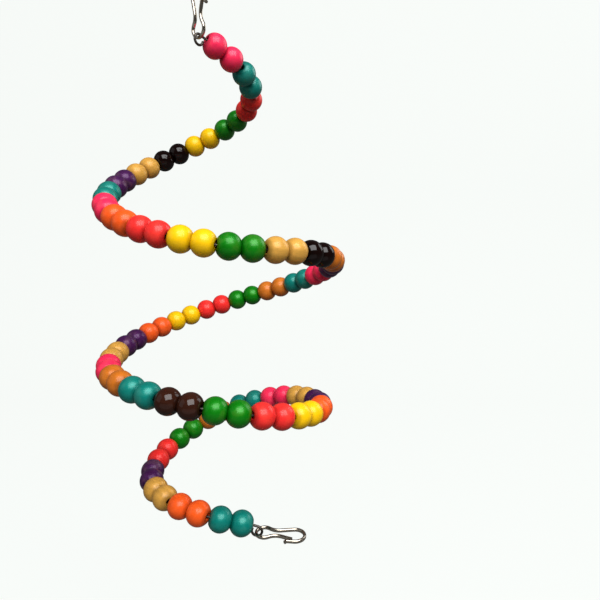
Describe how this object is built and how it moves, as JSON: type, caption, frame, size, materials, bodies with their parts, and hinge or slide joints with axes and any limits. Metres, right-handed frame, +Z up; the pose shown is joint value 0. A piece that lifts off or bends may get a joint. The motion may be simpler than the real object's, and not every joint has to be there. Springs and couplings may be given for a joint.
{
  "type": "spring bird ladder",
  "caption": "Hanging coil of spring wire threaded with pairs of dyed round wooden beads, with a spring snap hook at each end, for a caged bird to climb and perch on.",
  "frame": {"origin": "The inside of the top hook's bend, at the point that sits on the bar it hangs from.", "axes": "+Z is up, the ladder hangs down -Z, -Y is the front that the picture shows and +X is to its right."},
  "size_m": [0.1258, 0.1343, 0.251],
  "materials": {
    "hook_steel": "polished",
    "gate_steel": "polished",
    "wire_steel": "satin",
    "bead_pink": "gloss",
    "bead_teal": "gloss",
    "bead_red": "gloss",
    "bead_green": "gloss",
    "bead_yellow": "gloss",
    "bead_black": "gloss",
    "bead_natural": "satin",
    "bead_purple": "gloss",
    "bead_orange": "gloss",
    "bead_caramel": "gloss",
    "bead_brown": "gloss"
  },
  "bodies": {
    "top_snap_hook": {"top_hook": "hook_steel"},
    "top_snap_gate": {"top_gate": "gate_steel"},
    "wire_1": {"wire_length_1": "wire_steel"},
    "wire_2": {"wire_length_2": "wire_steel"},
    "wire_3": {"wire_length_3": "wire_steel"},
    "wire_4": {"wire_length_4": "wire_steel"},
    "wire_5": {"wire_length_5": "wire_steel"},
    "wire_6": {"wire_length_6": "wire_steel"},
    "wire_7": {"wire_length_7": "wire_steel"},
    "wire_8": {"wire_length_8": "wire_steel"},
    "pair_01": {"bead_pair_01_pink": "bead_pink"},
    "pair_02": {"bead_pair_02_teal": "bead_teal"},
    "pair_03": {"bead_pair_03_red": "bead_red"},
    "pair_04": {"bead_pair_04_green": "bead_green"},
    "pair_05": {"bead_pair_05_yellow": "bead_yellow"},
    "pair_06": {"bead_pair_06_black": "bead_black"},
    "pair_07": {"bead_pair_07_natural": "bead_natural"},
    "pair_08": {"bead_pair_08_purple": "bead_purple"},
    "pair_09": {"bead_pair_09_teal": "bead_teal"},
    "pair_10": {"bead_pair_10_pink": "bead_pink"},
    "pair_11": {"bead_pair_11_orange": "bead_orange"},
    "pair_12": {"bead_pair_12_red": "bead_red"},
    "pair_13": {"bead_pair_13_yellow": "bead_yellow"},
    "pair_14": {"bead_pair_14_green": "bead_green"},
    "pair_15": {"bead_pair_15_natural": "bead_natural"},
    "pair_16": {"bead_pair_16_black": "bead_black"},
    "pair_17": {"bead_pair_17_caramel": "bead_caramel"},
    "pair_18": {"bead_pair_18_purple": "bead_purple"},
    "pair_19": {"bead_pair_19_pink": "bead_pink"},
    "pair_20": {"bead_pair_20_teal": "bead_teal"},
    "pair_21": {"bead_pair_21_caramel": "bead_caramel"},
    "pair_22": {"bead_pair_22_green": "bead_green"},
    "pair_23": {"bead_pair_23_red": "bead_red"},
    "pair_24": {"bead_pair_24_yellow": "bead_yellow"},
    "pair_25": {"bead_pair_25_orange": "bead_orange"},
    "pair_26": {"bead_pair_26_purple": "bead_purple"},
    "pair_27": {"bead_pair_27_natural": "bead_natural"},
    "pair_28": {"bead_pair_28_pink": "bead_pink"},
    "pair_29": {"bead_pair_29_caramel": "bead_caramel"},
    "pair_30": {"bead_pair_30_teal": "bead_teal"},
    "pair_31": {"bead_pair_31_brown": "bead_brown"},
    "pair_32": {"bead_pair_32_green": "bead_green"},
    "pair_33": {"bead_pair_33_red": "bead_red"},
    "pair_34": {"bead_pair_34_yellow": "bead_yellow"},
    "pair_35": {"bead_pair_35_orange": "bead_orange"},
    "pair_36": {"bead_pair_36_purple": "bead_purple"},
    "pair_37": {"bead_pair_37_natural": "bead_natural"},
    "pair_38": {"bead_pair_38_pink": "bead_pink"},
    "pair_39": {"bead_pair_39_teal": "bead_teal"},
    "pair_40": {"bead_pair_40_caramel": "bead_caramel"},
    "pair_41": {"bead_pair_41_green": "bead_green"},
    "pair_42": {"bead_pair_42_red": "bead_red"},
    "pair_43": {"bead_pair_43_purple": "bead_purple"},
    "pair_44": {"bead_pair_44_natural": "bead_natural"},
    "pair_45": {"bead_pair_45_orange": "bead_orange"},
    "pair_46": {"bead_pair_46_teal": "bead_teal"},
    "bottom_snap_hook": {"bottom_hook": "hook_steel"},
    "bottom_snap_gate": {"bottom_gate": "gate_steel"}
  },
  "joints": [
    {"name": "top_gate_hinge", "type": "hinge", "parent": "top_snap_hook", "child": "top_snap_gate", "pos_m": [0.00236, -0.00198, -0.01586], "axis": [-0.6428, -0.766, 0], "range_deg": [0, 14], "stiffness_Nm_per_rad": 0.06, "springref_deg": -14.32},
    {"name": "ladder_swing", "type": "hinge", "parent": "top_snap_hook", "child": "wire_1", "pos_m": [0, 0, -0.0203], "axis": [0.6428, 0.766, 0], "range_deg": [-25, 25]},
    {"name": "coil_twist_1", "type": "hinge", "parent": "wire_1", "child": "wire_2", "pos_m": [-0.03543, 0.0482, -0.07639], "axis": [0.6643, 0.6268, 0.4072], "range_deg": [-7, 16], "stiffness_Nm_per_rad": 0.4, "springref_deg": -3.47},
    {"name": "coil_twist_2", "type": "hinge", "parent": "wire_2", "child": "wire_3", "pos_m": [-0.0072, -0.04534, -0.11089], "axis": [-0.9431, 0.285, 0.1716], "range_deg": [-7, 16], "stiffness_Nm_per_rad": 0.4, "springref_deg": -2.21},
    {"name": "coil_twist_3", "type": "hinge", "parent": "wire_3", "child": "wire_4", "pos_m": [0.06185, 0.02354, -0.1332], "axis": [0.2805, -0.9012, 0.3304], "range_deg": [-7, 16], "stiffness_Nm_per_rad": 0.4, "springref_deg": -2.42},
    {"name": "coil_twist_4", "type": "hinge", "parent": "wire_4", "child": "wire_5", "pos_m": [-0.0323, 0.04629, -0.16978], "axis": [0.6949, 0.6902, 0.2019], "range_deg": [-7, 16], "stiffness_Nm_per_rad": 0.4, "springref_deg": -2.13},
    {"name": "coil_twist_5", "type": "hinge", "parent": "wire_5", "child": "wire_6", "pos_m": [-0.01265, -0.05541, -0.17749], "axis": [-0.914, 0.3942, 0.0958], "range_deg": [-7, 16], "stiffness_Nm_per_rad": 0.4, "springref_deg": -1.16},
    {"name": "coil_twist_6", "type": "hinge", "parent": "wire_6", "child": "wire_7", "pos_m": [0.05346, 0.00885, -0.20283], "axis": [0.4074, -0.8925, 0.1936], "range_deg": [-7, 16], "stiffness_Nm_per_rad": 0.4, "springref_deg": -0.78},
    {"name": "coil_twist_7", "type": "hinge", "parent": "wire_7", "child": "wire_8", "pos_m": [-0.03082, -0.0038, -0.23566], "axis": [0.0263, 0.9974, 0.0676], "range_deg": [-7, 16], "stiffness_Nm_per_rad": 0.4, "springref_deg": -0.23},
    {"name": "bottom_hook_swing", "type": "hinge", "parent": "wire_8", "child": "bottom_snap_hook", "pos_m": [0.02679, -0.04434, -0.24713], "axis": [0.1045, 0.9945, 0], "range_deg": [-40, 80]},
    {"name": "bottom_gate_hinge", "type": "hinge", "parent": "bottom_snap_hook", "child": "bottom_snap_gate", "pos_m": [0.03248, -0.04803, -0.24713], "axis": [0, 0, 1], "range_deg": [0, 14], "stiffness_Nm_per_rad": 0.06, "springref_deg": -14.32},
    {"name": "pair_01_spin", "type": "hinge", "parent": "wire_1", "child": "pair_01", "pos_m": [0.01017, 0.00756, -0.02675], "axis": [0.7049, 0.5335, -0.4674], "continuous": true},
    {"name": "pair_02_spin", "type": "hinge", "parent": "wire_1", "child": "pair_02", "pos_m": [0.02016, 0.02223, -0.03623], "axis": [0.2393, 0.8609, -0.449], "continuous": true},
    {"name": "pair_03_spin", "type": "hinge", "parent": "wire_1", "child": "pair_03", "pos_m": [0.01899, 0.04009, -0.04531], "axis": [-0.351, 0.8318, -0.43], "continuous": true},
    {"name": "pair_04_spin", "type": "hinge", "parent": "wire_1", "child": "pair_04", "pos_m": [0.00711, 0.05364, -0.05419], "axis": [-0.7752, 0.4613, -0.4315], "continuous": true},
    {"name": "pair_05_spin", "type": "hinge", "parent": "wire_1", "child": "pair_05", "pos_m": [-0.01035, 0.05819, -0.06311], "axis": [-0.8995, -0.0208, -0.4364], "continuous": true},
    {"name": "pair_06_spin", "type": "hinge", "parent": "wire_1", "child": "pair_06", "pos_m": [-0.02771, 0.05325, -0.07203], "axis": [-0.7797, -0.4533, -0.432], "continuous": true},
    {"name": "pair_07_spin", "type": "hinge", "parent": "wire_2", "child": "pair_07", "pos_m": [-0.04109, 0.04074, -0.08036], "axis": [-0.5232, -0.7606, -0.3844], "continuous": true},
    {"name": "pair_08_spin", "type": "hinge", "parent": "wire_2", "child": "pair_08", "pos_m": [-0.04847, 0.02355, -0.08772], "axis": [-0.1998, -0.919, -0.3397], "continuous": true},
    {"name": "pair_09_spin", "type": "hinge", "parent": "wire_2", "child": "pair_09", "pos_m": [-0.04917, 0.00454, -0.09419], "axis": [0.1306, -0.9453, -0.2988], "continuous": true},
    {"name": "pair_10_spin", "type": "hinge", "parent": "wire_2", "child": "pair_10", "pos_m": [-0.04346, -0.01386, -0.09985], "axis": [0.4295, -0.8646, -0.2609], "continuous": true},
    {"name": "pair_11_spin", "type": "hinge", "parent": "wire_2", "child": "pair_11", "pos_m": [-0.03216, -0.0297, -0.10478], "axis": [0.6839, -0.6936, -0.2263], "continuous": true},
    {"name": "pair_12_spin", "type": "hinge", "parent": "wire_2", "child": "pair_12", "pos_m": [-0.01627, -0.04123, -0.109], "axis": [0.8783, -0.4384, -0.1905], "continuous": true},
    {"name": "pair_13_spin", "type": "hinge", "parent": "wire_3", "child": "pair_13", "pos_m": [0.00269, -0.04692, -0.11249], "axis": [0.9812, -0.1179, -0.1528], "continuous": true},
    {"name": "pair_14_spin", "type": "hinge", "parent": "wire_3", "child": "pair_14", "pos_m": [0.02258, -0.04574, -0.11519], "axis": [0.9653, 0.2351, -0.1133], "continuous": true},
    {"name": "pair_15_spin", "type": "hinge", "parent": "wire_3", "child": "pair_15", "pos_m": [0.04079, -0.0375, -0.11736], "axis": [0.8138, 0.5701, -0.1124], "continuous": true},
    {"name": "pair_16_spin", "type": "hinge", "parent": "wire_3", "child": "pair_16", "pos_m": [0.0547, -0.02329, -0.12032], "axis": [0.5465, 0.8184, -0.1778], "continuous": true},
    {"name": "pair_17_spin", "type": "hinge", "parent": "wire_3", "child": "pair_17", "pos_m": [0.06249, -0.00525, -0.12457], "axis": [0.2172, 0.9459, -0.2411], "continuous": true},
    {"name": "pair_18_spin", "type": "hinge", "parent": "wire_3", "child": "pair_18", "pos_m": [0.06345, 0.01404, -0.13008], "axis": [-0.1218, 0.9456, -0.3017], "continuous": true},
    {"name": "pair_19_spin", "type": "hinge", "parent": "wire_4", "child": "pair_19", "pos_m": [0.05786, 0.03215, -0.13673], "axis": [-0.4259, 0.8336, -0.3517], "continuous": true},
    {"name": "pair_20_spin", "type": "hinge", "parent": "wire_4", "child": "pair_20", "pos_m": [0.04658, 0.04722, -0.14373], "axis": [-0.683, 0.6475, -0.338], "continuous": true},
    {"name": "pair_21_spin", "type": "hinge", "parent": "wire_4", "child": "pair_21", "pos_m": [0.0308, 0.05774, -0.15036], "axis": [-0.867, 0.3849, -0.3164], "continuous": true},
    {"name": "pair_22_spin", "type": "hinge", "parent": "wire_4", "child": "pair_22", "pos_m": [0.01227, 0.06239, -0.15655], "axis": [-0.9529, 0.0721, -0.2947], "continuous": true},
    {"name": "pair_23_spin", "type": "hinge", "parent": "wire_4", "child": "pair_23", "pos_m": [-0.00689, 0.06054, -0.16231], "axis": [-0.9278, -0.2547, -0.2727], "continuous": true},
    {"name": "pair_24_spin", "type": "hinge", "parent": "wire_4", "child": "pair_24", "pos_m": [-0.02445, 0.05226, -0.16749], "axis": [-0.7959, -0.5585, -0.2338], "continuous": true},
    {"name": "pair_25_spin", "type": "hinge", "parent": "wire_5", "child": "pair_25", "pos_m": [-0.0384, 0.0384, -0.17159], "axis": [-0.5727, -0.8017, -0.1709], "continuous": true},
    {"name": "pair_26_spin", "type": "hinge", "parent": "wire_5", "child": "pair_26", "pos_m": [-0.04711, 0.02053, -0.17442], "axis": [-0.2831, -0.9529, -0.1087], "continuous": true},
    {"name": "pair_27_spin", "type": "hinge", "parent": "wire_5", "child": "pair_27", "pos_m": [-0.04963, 0.00068, -0.176], "axis": [0.0347, -0.9983, -0.0476], "continuous": true},
    {"name": "pair_28_spin", "type": "hinge", "parent": "wire_5", "child": "pair_28", "pos_m": [-0.04579, -0.01902, -0.17636], "axis": [0.3426, -0.9394, 0.012], "continuous": true},
    {"name": "pair_29_spin", "type": "hinge", "parent": "wire_5", "child": "pair_29", "pos_m": [-0.03607, -0.03659, -0.17612], "axis": [0.6146, -0.7889, -0.001], "continuous": true},
    {"name": "pair_30_spin", "type": "hinge", "parent": "wire_5", "child": "pair_30", "pos_m": [-0.02132, -0.0502, -0.17677], "axis": [0.8349, -0.5467, -0.0634], "continuous": true},
    {"name": "pair_31_spin", "type": "hinge", "parent": "wire_6", "child": "pair_31", "pos_m": [-0.00294, -0.05808, -0.17873], "axis": [0.9659, -0.2238, -0.1298], "continuous": true},
    {"name": "pair_32_spin", "type": "hinge", "parent": "wire_6", "child": "pair_32", "pos_m": [0.01687, -0.05888, -0.18208], "axis": [0.9685, 0.1475, -0.2007], "continuous": true},
    {"name": "pair_33_spin", "type": "hinge", "parent": "wire_6", "child": "pair_33", "pos_m": [0.03522, -0.05211, -0.18678], "axis": [0.8194, 0.5139, -0.2539], "continuous": true},
    {"name": "pair_34_spin", "type": "hinge", "parent": "wire_6", "child": "pair_34", "pos_m": [0.04922, -0.03855, -0.19181], "axis": [0.543, 0.8053, -0.238], "continuous": true},
    {"name": "pair_35_spin", "type": "hinge", "parent": "wire_6", "child": "pair_35", "pos_m": [0.0566, -0.02041, -0.19648], "axis": [0.1755, 0.9596, -0.2201], "continuous": true},
    {"name": "pair_36_spin", "type": "hinge", "parent": "wire_6", "child": "pair_36", "pos_m": [0.05614, -0.00076, -0.20078], "axis": [-0.2198, 0.9543, -0.2023], "continuous": true},
    {"name": "pair_37_spin", "type": "hinge", "parent": "wire_7", "child": "pair_37", "pos_m": [0.04796, 0.01716, -0.20493], "axis": [-0.5761, 0.7893, -0.2125], "continuous": true},
    {"name": "pair_38_spin", "type": "hinge", "parent": "wire_7", "child": "pair_38", "pos_m": [0.03347, 0.03023, -0.20982], "axis": [-0.834, 0.4832, -0.2665], "continuous": true},
    {"name": "pair_39_spin", "type": "hinge", "parent": "wire_7", "child": "pair_39", "pos_m": [0.01519, 0.03612, -0.21582], "axis": [-0.9426, 0.089, -0.3217], "continuous": true},
    {"name": "pair_40_spin", "type": "hinge", "parent": "wire_7", "child": "pair_40", "pos_m": [-0.00348, 0.03373, -0.22294], "axis": [-0.8697, -0.3211, -0.3748], "continuous": true},
    {"name": "pair_41_spin", "type": "hinge", "parent": "wire_7", "child": "pair_41", "pos_m": [-0.01916, 0.02324, -0.22991], "axis": [-0.652, -0.7004, -0.2903], "continuous": true},
    {"name": "pair_42_spin", "type": "hinge", "parent": "wire_7", "child": "pair_42", "pos_m": [-0.02866, 0.00612, -0.23436], "axis": [-0.2629, -0.9541, -0.1435], "continuous": true},
    {"name": "pair_43_spin", "type": "hinge", "parent": "wire_8", "child": "pair_43", "pos_m": [-0.02918, -0.0139, -0.23575], "axis": [0.2142, -0.9767, 0.0079], "continuous": true},
    {"name": "pair_44_spin", "type": "hinge", "parent": "wire_8", "child": "pair_44", "pos_m": [-0.0203, -0.03194, -0.23513], "axis": [0.6435, -0.7652, 0.0191], "continuous": true},
    {"name": "pair_45_spin", "type": "hinge", "parent": "wire_8", "child": "pair_45", "pos_m": [-0.00404, -0.04367, -0.23627], "axis": [0.9224, -0.3636, -0.1305], "continuous": true},
    {"name": "pair_46_spin", "type": "hinge", "parent": "wire_8", "child": "pair_46", "pos_m": [0.01546, -0.04618, -0.24047], "axis": [0.9538, 0.1165, -0.277], "continuous": true}
  ],
  "couplings": [
    {"joint": "coil_twist_2", "follows": "coil_twist_1", "ratio": 1},
    {"joint": "coil_twist_3", "follows": "coil_twist_1", "ratio": 1},
    {"joint": "coil_twist_4", "follows": "coil_twist_1", "ratio": 1},
    {"joint": "coil_twist_5", "follows": "coil_twist_1", "ratio": 1},
    {"joint": "coil_twist_6", "follows": "coil_twist_1", "ratio": 1},
    {"joint": "coil_twist_7", "follows": "coil_twist_1", "ratio": 1}
  ]
}
